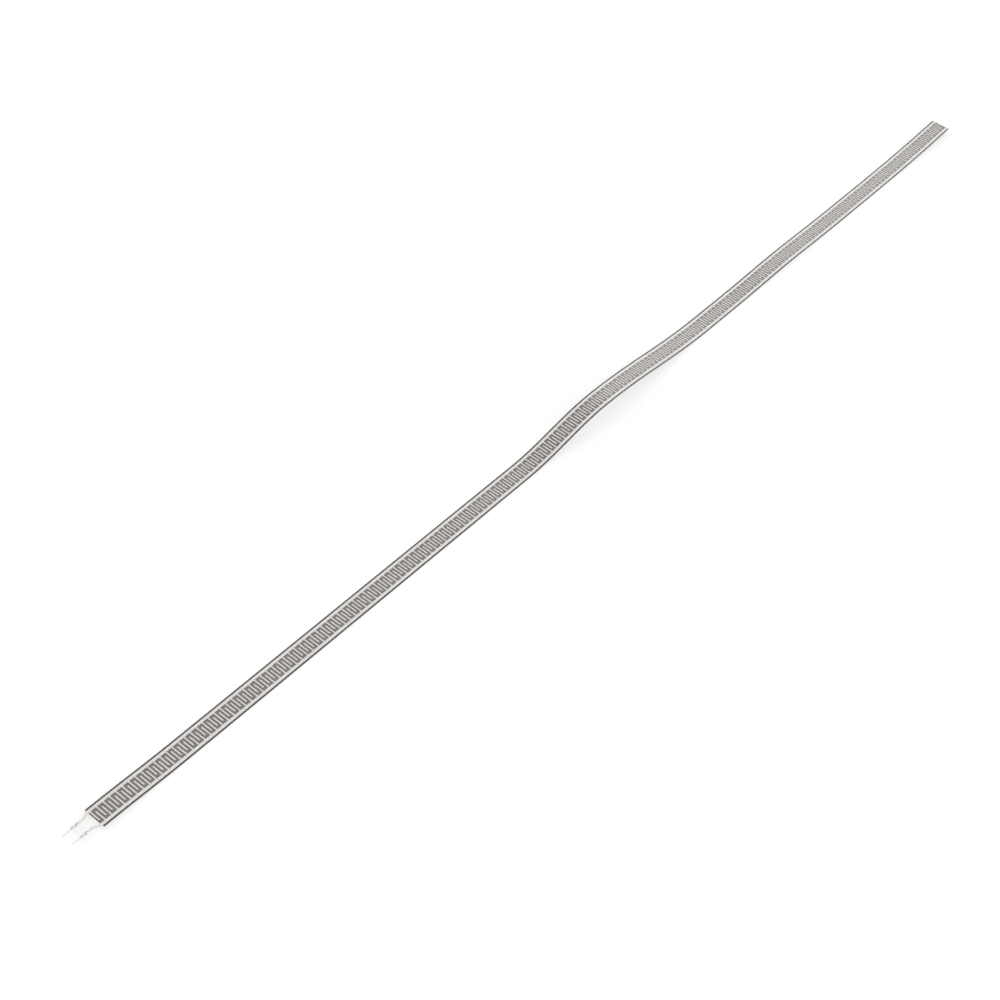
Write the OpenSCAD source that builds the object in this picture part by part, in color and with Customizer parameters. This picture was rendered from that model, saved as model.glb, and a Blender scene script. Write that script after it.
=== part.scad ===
// A strip-shaped force sensing resistor: two clear films with two interlocking silver combs
// on the upper one, a carbon coat on the lower one, an adhesive frame between them,
// and two solder tabs crimped on a short clear tail.
// X runs along the strip from the tail to the far end, Y across it, and Z up from the table.
// The origin is under the middle of the whole length, on the table.

/* [Strip] */
// Length of the sensing strip along its surface, without the tail
strip_len = 609.6; // [600:0.1:900]
// Width of the strip
strip_w = 10.16; // [9:0.01:16]
// Width of the bare edge outside each busbar
edge_w = 0.7; // [0.3:0.05:1.2]

/* [Layers] */
// Thickness of the clear rear film
rear_t = 0.125; // [0.05:0.005:0.25]
// Thickness of the carbon coat on the rear film
carbon_t = 0.02; // [0.01:0.005:0.05]
// Thickness of the adhesive frame under the silver
spacer_t = 0.1; // [0.05:0.005:0.2]
// Thickness of the printed silver
silver_t = 0.02; // [0.01:0.005:0.05]
// Thickness of the clear front film
front_t = 0.125; // [0.05:0.005:0.25]

/* [Silver combs] */
// Width of the busbar along each edge
bus_w = 1.2; // [0.6:0.05:1.6]
// Distance from one finger to the next finger of the other comb
finger_pitch = 1.55; // [1.2:0.01:3]
// Width of one finger
finger_w = 0.54; // [0.3:0.01:0.8]
// Distance from the tip of a finger to the busbar of the other comb
tip_gap = 1.25; // [0.5:0.05:2]
// Distance from the start of the strip to its first finger, which is also the frame's end bar
first_gap = 0.45; // [0.3:0.01:1]

/* [Tail] */
// Length of the clear tail that holds the solder tabs
tail_len = 8.9; // [8:0.1:14]
// Length over which the tail and its two traces narrow
taper_len = 3.5; // [2:0.1:3.8]
// Width of each silver trace on the tail
trace_w = 0.95; // [0.6:0.05:0.95]
// Film left outside the solder tabs
tail_edge = 0.6; // [0.3:0.05:0.8]
// Film left past the end of the solder tabs' saddles
tail_end = 0.2; // [0.1:0.05:0.5]

/* [Solder tabs] */
// Distance between the middles of the two tabs
tab_pitch = 5.08; // [4:0.01:6]
// Thickness of the sheet metal
sheet_t = 0.2; // [0.15:0.01:0.22]
// Width of the saddle under the film
saddle_w = 1.4; // [1.4:0.05:2]
// Length of the saddle under the film
saddle_len = 3.5; // [3:0.1:4]
// Length of one claw along the tab
claw_len = 1.2; // [0.8:0.05:1.2]
// Distance between the curled ends of two facing claws
claw_gap = 0.15; // [0.1:0.05:0.3]
// Straight stretch of a claw above the film, before it curls
claw_rise = 0.12; // [0.05:0.01:0.4]
// Clearance round a claw in its slot in the film
slot_gap = 0.04; // [0.02:0.01:0.06]
// Width of the solder pin
pin_w = 0.64; // [0.4:0.02:0.8]
// Length of the solder pin past the saddle
pin_len = 4; // [2.5:0.1:8]
// Length of the shoulder between the saddle and the pin, and of the pin's tapered tip
shoulder_len = 0.6; // [0.3:0.05:1]

/* [Lie of the strip on a table] */
// Height of the lifted end beside the tail
tail_lift = 1.2; // [0.5:0.05:4]
// Length over which that end comes down
tail_lift_len = 43; // [25:1:80]
// Height of the hump
hump_h = 6.8; // [0:0.1:15]
// Distance from the start of the strip to the foot of the hump
hump_from = 244; // [150:1:260]
// Distance from the start of the strip to the top of the hump
hump_top = 299; // [285:1:320]
// Distance from the start of the strip to the far foot of the hump
hump_to = 383; // [360:1:395]
// Height of the low ripple past the hump
ripple_h = 0.9; // [0:0.05:2]
// Distance from the start of the strip to the top of the ripple
ripple_at = 452.5; // [450:0.5:460]
// Length of each side of the ripple
ripple_side = 45; // [35:1:50]
// Height of the curled far end
curl_h = 2.9; // [0:0.1:8]
// Length over which the far end curls up
curl_len = 73.5; // [40:0.5:85]

/* [Hidden] */
$fn = 48;

// Angle by which each flat facet of the bent strip turns from the last, where it bends most
facet_turn = 1.6;
// How far cutting outlines run past what they cut
spill = 5;

// Heights of the layers over the underside of the strip
carbon_lo = rear_t;
spacer_lo = carbon_lo + carbon_t;
silver_lo = spacer_lo + spacer_t;
film_lo = silver_lo + silver_t;
film_hi = film_lo + front_t;

// Distances from the middle line across the strip
half_w = strip_w / 2;
bus_out = half_w - edge_w;
bus_in = bus_out - bus_w;
tip_y = bus_in - tip_gap;

// The tail and the tabs, from the start of the strip towards the pins
saddle_end = tail_len - tail_end;
saddle_start = saddle_end - saddle_len;
tab_reach = saddle_end + pin_len;
tab_y = tab_pitch / 2;
tail_half_w = tab_y + saddle_w / 2 + tail_edge;
claw_r = (saddle_w - claw_gap) / 4;
claw_spots = [saddle_start + claw_len / 2 + slot_gap, saddle_end - claw_len / 2 - slot_gap];

// A smooth fall from 1 to 0 as t goes from 0 to 1
function fade(t) = (1 + cos(180 * min(max(t, 0), 1))) / 2;

// Height of the underside over the table, at a distance s along the strip
function hump(s) =
    hump_h * (s < hump_top ? fade((hump_top - s) / (hump_top - hump_from))
                           : fade((s - hump_top) / (hump_to - hump_top)));
function ripple(s) = ripple_h * fade(abs(s - ripple_at) / ripple_side);
function curl(s) = curl_h * pow(max(s - (strip_len - curl_len), 0) / curl_len, 2);
function lie(s) = tail_lift * fade(s / tail_lift_len) + hump(s) + ripple(s) + curl(s);

// Steepest bend of a wave's side and of the curl, in degrees per mm of strip
function wave_bend(height, side) = 90 * PI * height / pow(side, 2);
curl_bend = 360 / PI * curl_h / pow(curl_len, 2);

// Each bent stretch of the strip: where it starts, where it ends, and its steepest bend
bends = [[0, tail_lift_len, wave_bend(tail_lift, tail_lift_len)],
         [hump_from, hump_top, wave_bend(hump_h, hump_top - hump_from)],
         [hump_top, hump_to, wave_bend(hump_h, hump_to - hump_top)],
         [ripple_at - ripple_side, ripple_at, wave_bend(ripple_h, ripple_side)],
         [ripple_at, ripple_at + ripple_side, wave_bend(ripple_h, ripple_side)],
         [strip_len - curl_len, strip_len, curl_bend]];

// The ends of all bent stretches that lie on the strip, each once and in order
function sorted(list) =
    len(list) == 0 ? [] :
    let (first = list[0])
    concat(sorted([for (s = list) if (s < first) s]), [first], sorted([for (s = list) if (s > first) s]));
marks = sorted([0, strip_len, for (bend = bends, s = [bend[0], bend[1]]) if (s > 0 && s < strip_len) s]);

// Steepest bend between one mark and the next, which is none where the strip lies flat
function total(list) = [for (value = list) 1] * list;
function bend_after(i) = total([0, for (bend = bends) if (bend[0] <= marks[i] && bend[1] > marks[i]) bend[2]]);

// Distances along the strip at which it turns from one flat facet to the next
function span(i) = marks[i + 1] - marks[i];
function count(i) = max(1, ceil(span(i) * bend_after(i) / facet_turn));
turns = [0, for (i = [0 : len(marks) - 2], k = [1 : count(i)]) marks[i] + span(i) * k / count(i)];
facets = len(turns) - 1;

// The underside as a chain of facets as long as the strip, so that bending never stretches it
heights = [for (s = turns) lie(s)];
function advance(i) =
    i < facets ? sqrt(pow(turns[i + 1] - turns[i], 2) - pow(heights[i + 1] - heights[i], 2)) : 0;
underside = [for (i = 0, x = 0; i <= facets; x = x + advance(i), i = i + 1) [x, heights[i]]];
far_x = underside[facets][0];

// Place along X of a distance s along the strip
places = [for (i = [0 : facets]) [turns[i], underside[i][0]]];
function place(s) = lookup(s, places);

// The way that the surface faces at each end of a facet: straight up where the tail joins
function way(i) = (underside[i + 1] - underside[i]) / (turns[i + 1] - turns[i]);
function middle_way(i) = way(i - 1) + way(min(i, facets - 1));
function facing(i) = i == 0 ? [0, 1] : [-middle_way(i)[1], middle_way(i)[0]] / norm(middle_way(i));
function film_face(h) = [for (i = [0 : facets]) underside[i] + h * facing(i)];
function tail_face(h) = [-tail_len, tail_lift + h];

// Puts the origin under the middle of the whole length
module placed() {
    translate([(tab_reach - far_x) / 2, 0, 0])
        children();
}

// A layer of the bent strip from height lo to height hi, and from y0 to y1 across it
module layer(lo, hi, y0, y1, with_tail = false) {
    low = with_tail ? concat([tail_face(lo)], film_face(lo)) : film_face(lo);
    high = with_tail ? concat([tail_face(hi)], film_face(hi)) : film_face(hi);
    translate([0, y1, 0])
        rotate([90, 0, 0])
            linear_extrude(y1 - y0)
                polygon(concat(low, [for (i = [len(high) - 1 : -1 : 0]) high[i]]));
}

// What a plan outline leaves of a layer that runs on into the tail
module cut_layer(lo, hi) {
    intersection() {
        layer(lo, hi, -half_w, half_w, with_tail = true);
        translate([0, 0, -spill])
            linear_extrude(hump_h + curl_h + tail_lift + ripple_h + 2 * spill)
                children();
    }
}

// The four corners of one finger of a comb, from the busbar to the tip and back
function finger(k) =
    let (start = place(first_gap + k * finger_pitch),
         end = place(first_gap + k * finger_pitch + finger_w))
    [[end, bus_in], [end, -tip_y], [start, -tip_y], [start, bus_in]];

// Plan of the left comb: its trace on the tail, its busbar, and every second finger from finger number first
function comb_outline(first) =
    let (fingers = floor((strip_len - 2 * first_gap - finger_w) / finger_pitch) + 1,
         last = first + 2 * floor((fingers - 1 - first) / 2))
    concat([[-saddle_end, tab_y + trace_w / 2], [-taper_len, tab_y + trace_w / 2], [0, bus_out],
            [far_x + spill, bus_out], [far_x + spill, bus_in]],
           [for (k = [last : -2 : first]) each finger(k)],
           [[0, bus_in], [-taper_len, tab_y - trace_w / 2], [-saddle_end, tab_y - trace_w / 2]]);

module silver_comb(first) {
    color([0.90, 0.89, 0.87])
        cut_layer(silver_lo, film_lo)
            polygon(comb_outline(first));
}

// The claws of one tab seen along the strip, with the saddle's rounded bends
module claw_section() {
    bend_r = sheet_t;
    leg_y = saddle_w / 2;
    for (side = [0, 1])
        mirror([side, 0]) {
            translate([leg_y - bend_r, silver_lo])
                intersection() {
                    circle(bend_r);
                    translate([0, -bend_r])
                        square(bend_r);
                }
            translate([leg_y - sheet_t, silver_lo])
                square([sheet_t, film_hi + claw_rise - silver_lo]);
            translate([leg_y - claw_r, film_hi + claw_rise])
                difference() {
                    circle(claw_r);
                    circle(claw_r - sheet_t);
                    translate([-claw_r, -2 * claw_r])
                        square(2 * claw_r);
                }
            translate([leg_y - 2 * claw_r, film_hi])
                square([sheet_t, claw_rise]);
        }
    translate([bend_r - leg_y, silver_lo - sheet_t])
        square([2 * (leg_y - bend_r), sheet_t]);
}

// One crimped solder tab over the middle line: saddle, two pairs of claws, shoulder and pin
module solder_tab() {
    plate_w = saddle_w - 2 * sheet_t;
    color([0.78, 0.78, 0.77])
        translate([0, 0, tail_lift]) {
            translate([0, 0, silver_lo - sheet_t])
                linear_extrude(sheet_t)
                    polygon([[-saddle_start, plate_w / 2], [-saddle_end, plate_w / 2],
                             [-saddle_end - shoulder_len, pin_w / 2],
                             [-tab_reach + shoulder_len, pin_w / 2], [-tab_reach, pin_w / 4],
                             [-tab_reach, -pin_w / 4], [-tab_reach + shoulder_len, -pin_w / 2],
                             [-saddle_end - shoulder_len, -pin_w / 2],
                             [-saddle_end, -plate_w / 2], [-saddle_start, -plate_w / 2]]);
            for (spot = claw_spots)
                translate([-spot - claw_len / 2, 0, 0])
                    rotate([90, 0, 90])
                        linear_extrude(claw_len)
                            claw_section();
        }
}

module rear_film() {
    color([0.93, 0.93, 0.91, 0.4])
        layer(0, carbon_lo, -half_w, half_w);
}

module carbon_layer() {
    color([0.32, 0.31, 0.30])
        layer(carbon_lo, spacer_lo, -half_w, half_w);
}

// A frame: two rails that fill the bare edges up to the front film, and a bar at each end
module spacer_adhesive() {
    color([0.22, 0.21, 0.20])
        union() {
            for (side = [0, 1])
                mirror([0, side, 0]) {
                    layer(spacer_lo, silver_lo, bus_in, bus_out);
                    layer(spacer_lo, film_lo, bus_out, half_w);
                }
            intersection() {
                layer(spacer_lo, silver_lo, -bus_in, bus_in);
                for (middle = [0, far_x])
                    translate([middle - first_gap, -half_w, -spill])
                        cube([2 * first_gap, strip_w, curl_h + tail_lift + 2 * spill]);
            }
        }
}

module silver_comb_left() {
    silver_comb(0);
}

module silver_comb_right() {
    mirror([0, 1, 0])
        silver_comb(1);
}

// The clear film with its tail, and a slot for each claw
module front_film() {
    color([0.95, 0.95, 0.93, 0.3])
        difference() {
            cut_layer(film_lo, film_hi)
                polygon([[-tail_len, tail_half_w], [-taper_len, tail_half_w], [0, half_w],
                         [far_x + spill, half_w], [far_x + spill, -half_w], [0, -half_w],
                         [-taper_len, -tail_half_w], [-tail_len, -tail_half_w]]);
            for (tab = [-tab_y, tab_y], spot = claw_spots, leg = [-1, 1])
                translate([-spot, tab + leg * (saddle_w - sheet_t) / 2, tail_lift + film_lo])
                    cube([claw_len + 2 * slot_gap, sheet_t + 2 * slot_gap, 3 * front_t], center = true);
        }
}

module solder_tab_left() {
    translate([0, tab_y, 0])
        solder_tab();
}

module solder_tab_right() {
    translate([0, -tab_y, 0])
        solder_tab();
}

placed() rear_film();
placed() carbon_layer();
placed() spacer_adhesive();
placed() silver_comb_left();
placed() silver_comb_right();
placed() front_film();
placed() solder_tab_left();
placed() solder_tab_right();
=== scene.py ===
import bpy
from mathutils import Matrix, Vector


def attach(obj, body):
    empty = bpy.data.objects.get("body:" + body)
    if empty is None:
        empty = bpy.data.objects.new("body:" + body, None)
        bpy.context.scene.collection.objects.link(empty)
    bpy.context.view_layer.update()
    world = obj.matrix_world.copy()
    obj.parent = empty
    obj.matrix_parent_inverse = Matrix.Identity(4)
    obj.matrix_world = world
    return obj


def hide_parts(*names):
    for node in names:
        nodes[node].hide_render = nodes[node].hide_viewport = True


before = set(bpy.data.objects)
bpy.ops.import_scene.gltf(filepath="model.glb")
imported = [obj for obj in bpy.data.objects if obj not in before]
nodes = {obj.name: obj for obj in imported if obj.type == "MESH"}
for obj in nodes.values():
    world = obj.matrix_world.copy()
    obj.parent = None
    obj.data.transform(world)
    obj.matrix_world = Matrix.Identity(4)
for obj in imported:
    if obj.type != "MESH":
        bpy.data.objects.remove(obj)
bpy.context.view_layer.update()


MM = 0.001
# Gap left between a film and what is printed or stuck on it, so that each face shows by itself
PRINT_GAP = 0.012 * MM
# Slack by which the cut edge at the very start of the strip counts as the strip's, not the tail's
START_SLACK = 0.01 * MM
# A film's face is a cut edge if the upward part of its normal is less than this
EDGE_SLOPE = 0.5

# Refractive indices. The cut edge's is low, because a cut edge hardly shines.
FILM_INDEX = 1.62
INK_INDEX = 1.5
EDGE_INDEX = 1.3
COAT_ROUGHNESS = 0.1

NOISE_ROUGHNESS = 0.55
# Noise values between which one tone, or one tint, passes into the other
TONE_ENDS = (0.35, 0.65)
TINT_ENDS = (0.3, 0.7)
TINT_SCALE = 60
GRAIN_DEPTH = 0.02 * MM

FLOOR_SIZE = 8
FLOOR_Z = -0.02 * MM
FLOOR_WHITE = 0.97
# Share of the floor that is plain white to the eye and in reflections, while the rest keeps the shadow
PLAIN_SHARE = 0.7

# Colour of the room by the sine of the height above the horizon
ROOM_LIGHT = [
    (0.0, (0.8, 0.8, 0.8)),
    (0.35, (1.0, 1.0, 1.0)),
    (0.48, (1.35, 1.35, 1.35)),
    (0.62, (1.4, 1.4, 1.4)),
    (0.73, (0.92, 0.92, 0.92)),
    (0.85, (0.8, 0.8, 0.81)),
    (1.0, (0.68, 0.68, 0.69)),
]
LAMP_STRENGTH = 0.45
LAMP_SPREAD = 0.9
LAMP_WAY = Vector((0.35, -0.55, -0.75))

# The camera that was fitted to the photograph
CAMERA_PLACE = Vector((-0.534743, -0.312915, 0.583703))
CAMERA_RIGHT = Vector((0.632369, -0.768935, 0.094067))
CAMERA_UP = Vector((0.520791, 0.511875, 0.683199))
CAMERA_LENS = 67.89
CAMERA_SENSOR = 36
CAMERA_CLIP = 0.01


# Shader helpers

def new_material(name):
    material = bpy.data.materials.new(name)
    material.use_nodes = True
    material.node_tree.nodes.clear()
    return material


def show(tree, shader, output_kind="ShaderNodeOutputMaterial"):
    """Makes a shader the one that the material or the room shows."""
    output = tree.nodes.new(output_kind)
    tree.links.new(shader, output.inputs["Surface"])


def ramp(tree, source, stops):
    """The colour that belongs to a value, by stops that each give a value and its colour."""
    node = tree.nodes.new("ShaderNodeValToRGB")
    elements = node.color_ramp.elements
    while len(elements) < len(stops):
        elements.new(0.5)
    for element, (place, colour) in zip(elements, stops):
        element.position = place
        element.color = (*colour, 1)
    tree.links.new(source, node.inputs["Fac"])
    return node.outputs["Color"]


def noise(tree, coords, scale, detail=3.0):
    node = tree.nodes.new("ShaderNodeTexNoise")
    node.inputs["Scale"].default_value = scale
    node.inputs["Detail"].default_value = detail
    node.inputs["Roughness"].default_value = NOISE_ROUGHNESS
    tree.links.new(coords, node.inputs["Vector"])
    return node.outputs["Fac"]


def drift(tree, coords, scale, ends, colours):
    """Two colours that drift into each other."""
    return ramp(tree, noise(tree, coords, scale), list(zip(ends, colours)))


def combined(tree, operation, first, second, clamp=False):
    """A value worked out from a socket and another socket or number."""
    node = tree.nodes.new("ShaderNodeMath")
    node.operation = operation
    node.use_clamp = clamp
    tree.links.new(first, node.inputs[0])
    if isinstance(second, float):
        node.inputs[1].default_value = second
    else:
        tree.links.new(second, node.inputs[1])
    return node.outputs["Value"]


def mixed(tree, share, first, second):
    """Two shaders mixed, with a share of the second."""
    node = tree.nodes.new("ShaderNodeMixShader")
    tree.links.new(share, node.inputs["Fac"])
    tree.links.new(first, node.inputs[1])
    tree.links.new(second, node.inputs[2])
    return node.outputs["Shader"]


def surface(name, tones, tone_scale, metallic, roughness, grain_scale, grain, coat=0.0):
    """A printed or plated surface: tones that drift, and a fine grain that roughens it."""
    material = new_material(name)
    tree = material.node_tree
    coords = tree.nodes.new("ShaderNodeTexCoord").outputs["Object"]
    shader = tree.nodes.new("ShaderNodeBsdfPrincipled")
    shader.inputs["Metallic"].default_value = metallic
    shader.inputs["IOR"].default_value = INK_INDEX
    shader.inputs["Coat Weight"].default_value = coat
    shader.inputs["Coat Roughness"].default_value = COAT_ROUGHNESS
    shader.inputs["Coat IOR"].default_value = FILM_INDEX
    tree.links.new(drift(tree, coords, tone_scale, TONE_ENDS, tones), shader.inputs["Base Color"])

    grains = noise(tree, coords, grain_scale, detail=2.0)
    spread = tree.nodes.new("ShaderNodeMapRange")
    spread.inputs["To Min"].default_value = roughness[0]
    spread.inputs["To Max"].default_value = roughness[1]
    tree.links.new(grains, spread.inputs["Value"])
    tree.links.new(spread.outputs["Result"], shader.inputs["Roughness"])

    bump = tree.nodes.new("ShaderNodeBump")
    bump.inputs["Strength"].default_value = grain
    bump.inputs["Distance"].default_value = GRAIN_DEPTH
    geometry = tree.nodes.new("ShaderNodeNewGeometry")
    tree.links.new(grains, bump.inputs["Height"])
    tree.links.new(geometry.outputs["True Normal"], bump.inputs["Normal"])
    tree.links.new(bump.outputs["Normal"], shader.inputs["Normal"])
    show(tree, shader.outputs["BSDF"])
    return material


def clear_film(name, tints, index, roughness):
    """Thin clear film: a faint tint over what lies behind it, and a shine by its angle to the eye."""
    material = new_material(name)
    tree = material.node_tree
    coords = tree.nodes.new("ShaderNodeTexCoord").outputs["Object"]
    geometry = tree.nodes.new("ShaderNodeNewGeometry")
    clear = tree.nodes.new("ShaderNodeBsdfTransparent")
    tree.links.new(drift(tree, coords, TINT_SCALE, TINT_ENDS, tints), clear.inputs["Color"])
    gloss = tree.nodes.new("ShaderNodeBsdfGlossy")
    gloss.inputs["Color"].default_value = (1, 1, 1, 1)
    gloss.inputs["Roughness"].default_value = roughness
    fresnel = tree.nodes.new("ShaderNodeFresnel")
    fresnel.inputs["IOR"].default_value = index
    tree.links.new(geometry.outputs["True Normal"], gloss.inputs["Normal"])
    tree.links.new(geometry.outputs["True Normal"], fresnel.inputs["Normal"])
    # Only the outside of the film shines
    shine = combined(tree, "SUBTRACT", fresnel.outputs["Fac"], geometry.outputs["Backfacing"], clamp=True)
    show(tree, mixed(tree, shine, clear.outputs["BSDF"], gloss.outputs["BSDF"]))
    return material


# Materials

silver_ink = surface(
    "silver_ink",
    tones=[(0.712, 0.698, 0.688), (0.792, 0.778, 0.768)],
    tone_scale=900,
    metallic=0.4,
    roughness=(0.38, 0.55),
    grain_scale=9000,
    grain=0.3,
)
# The coat stands for the lower face of the front film, which shines over the gap above the carbon
carbon_ink = surface(
    "carbon_ink",
    tones=[(0.092, 0.081, 0.070), (0.152, 0.135, 0.117)],
    tone_scale=2600,
    metallic=0.0,
    roughness=(0.45, 0.6),
    grain_scale=7000,
    grain=0.3,
    coat=1.0,
)
dark_adhesive = surface(
    "dark_adhesive",
    tones=[(0.030, 0.027, 0.024), (0.042, 0.038, 0.034)],
    tone_scale=700,
    metallic=0.0,
    roughness=(0.4, 0.6),
    grain_scale=5000,
    grain=0.3,
)
tin_plate = surface(
    "tin_plate",
    tones=[(0.80, 0.80, 0.79), (0.90, 0.90, 0.89)],
    tone_scale=1400,
    metallic=0.95,
    roughness=(0.28, 0.42),
    grain_scale=6000,
    grain=0.4,
)
film_clear = clear_film(
    "film_clear",
    tints=[(0.995, 0.993, 0.988), (0.985, 0.981, 0.972)],
    index=FILM_INDEX,
    roughness=0.06,
)
# Cut edges tinted near-black: partly the dark layers inside, which catch the light that enters a cut
# edge, and partly painted shade for the contact shadow under the strip's edges
film_edge_and_painted_shade = clear_film(
    "film_edge_and_painted_shade",
    tints=[(0.10, 0.095, 0.09), (0.06, 0.057, 0.054)],
    index=EDGE_INDEX,
    roughness=0.3,
)

for node_name, node_material in {
    "carbon_layer": carbon_ink,
    "spacer_adhesive": dark_adhesive,
    "silver_comb_left": silver_ink,
    "silver_comb_right": silver_ink,
    "solder_tab_left": tin_plate,
    "solder_tab_right": tin_plate,
    "front_film": film_clear,
    "rear_film": film_clear,
}.items():
    nodes[node_name].data.materials.clear()
    nodes[node_name].data.materials.append(node_material)


# Clear films, each a little thinner on the side that is printed

strip_start = min(v.co.x for v in nodes["rear_film"].data.vertices) - START_SLACK


def corner(vertex):
    """A vertex's place, the same for all vertices that share it."""
    return tuple(round(c, 7) for c in vertex.co)


def thinned_film(node, name, printed_side):
    """Shows a film as a thinner copy. Its printed side is 1 for the upper one, -1 for the lower one."""
    mesh = nodes[node].data.copy()
    mesh.name = name
    mesh.shade_flat()
    film = bpy.data.objects.new(name, mesh)
    bpy.context.scene.collection.objects.link(film)
    facing = {}
    for face in mesh.polygons:
        for index in face.vertices:
            place = corner(mesh.vertices[index])
            facing[place] = facing.get(place, 0.0) + face.normal.z * face.area
    for vertex in mesh.vertices:
        if facing[corner(vertex)] * printed_side > 0:
            vertex.co.z -= printed_side * PRINT_GAP
    # The strip's cut edges are dark, partly as painted shade for the contact shadow under them, and the
    # tail's are clear
    mesh.materials.append(film_edge_and_painted_shade)
    for face in mesh.polygons:
        if abs(face.normal.z) < EDGE_SLOPE and face.center.x > strip_start:
            face.material_index = 1
    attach(film, "root")
    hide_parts(node)
    nodes[node].hide_render = True


thinned_film("front_film", "front_film_clear", -1)
thinned_film("rear_film", "rear_film_clear", 1)


# Stage

def add_floor():
    """A white floor that keeps the strip's shadow."""
    bpy.ops.mesh.primitive_plane_add(size=FLOOR_SIZE, location=(0, 0, FLOOR_Z))
    floor = bpy.context.object
    floor.name = "floor"
    material = new_material("floor_white")
    tree = material.node_tree
    shaded = tree.nodes.new("ShaderNodeBsdfDiffuse")
    shaded.inputs["Color"].default_value = (FLOOR_WHITE, FLOOR_WHITE, FLOOR_WHITE, 1)
    plain = tree.nodes.new("ShaderNodeEmission")
    plain.inputs["Color"].default_value = (1, 1, 1, 1)
    plain.inputs["Strength"].default_value = 1.0
    path = tree.nodes.new("ShaderNodeLightPath")
    seen = combined(tree, "MAXIMUM", path.outputs["Is Camera Ray"], path.outputs["Is Glossy Ray"])
    share = combined(tree, "MULTIPLY", seen, PLAIN_SHARE)
    show(tree, mixed(tree, share, shaded.outputs["BSDF"], plain.outputs["Emission"]))
    floor.data.materials.append(material)


def add_room():
    """A pale room, brightest part of the way up, where the far end of the strip reflects it."""
    world = bpy.data.worlds.new("room")
    bpy.context.scene.world = world
    world.use_nodes = True
    tree = world.node_tree
    tree.nodes.clear()
    way = tree.nodes.new("ShaderNodeTexCoord").outputs["Generated"]
    parts = tree.nodes.new("ShaderNodeSeparateXYZ")
    tree.links.new(way, parts.inputs["Vector"])
    background = tree.nodes.new("ShaderNodeBackground")
    tree.links.new(ramp(tree, parts.outputs["Z"], ROOM_LIGHT), background.inputs["Color"])
    show(tree, background.outputs["Background"], "ShaderNodeOutputWorld")


def add_lamp():
    """One broad soft lamp from the upper left."""
    lamp = bpy.data.lights.new("soft_lamp", "SUN")
    lamp.energy = LAMP_STRENGTH
    lamp.angle = LAMP_SPREAD
    holder = bpy.data.objects.new("soft_lamp", lamp)
    bpy.context.scene.collection.objects.link(holder)
    holder.rotation_euler = LAMP_WAY.to_track_quat("-Z", "Y").to_euler()


def add_camera():
    lens = bpy.data.cameras.new("camera")
    lens.sensor_width = CAMERA_SENSOR
    lens.lens = CAMERA_LENS
    lens.clip_start = CAMERA_CLIP
    camera = bpy.data.objects.new("camera", lens)
    bpy.context.scene.collection.objects.link(camera)
    back = CAMERA_RIGHT.cross(CAMERA_UP)
    turn = Matrix((CAMERA_RIGHT, CAMERA_UP, back)).transposed().to_4x4()
    camera.matrix_world = Matrix.Translation(CAMERA_PLACE) @ turn
    bpy.context.scene.camera = camera


add_floor()
add_room()
add_lamp()
add_camera()
bpy.context.scene.view_settings.view_transform = "Standard"
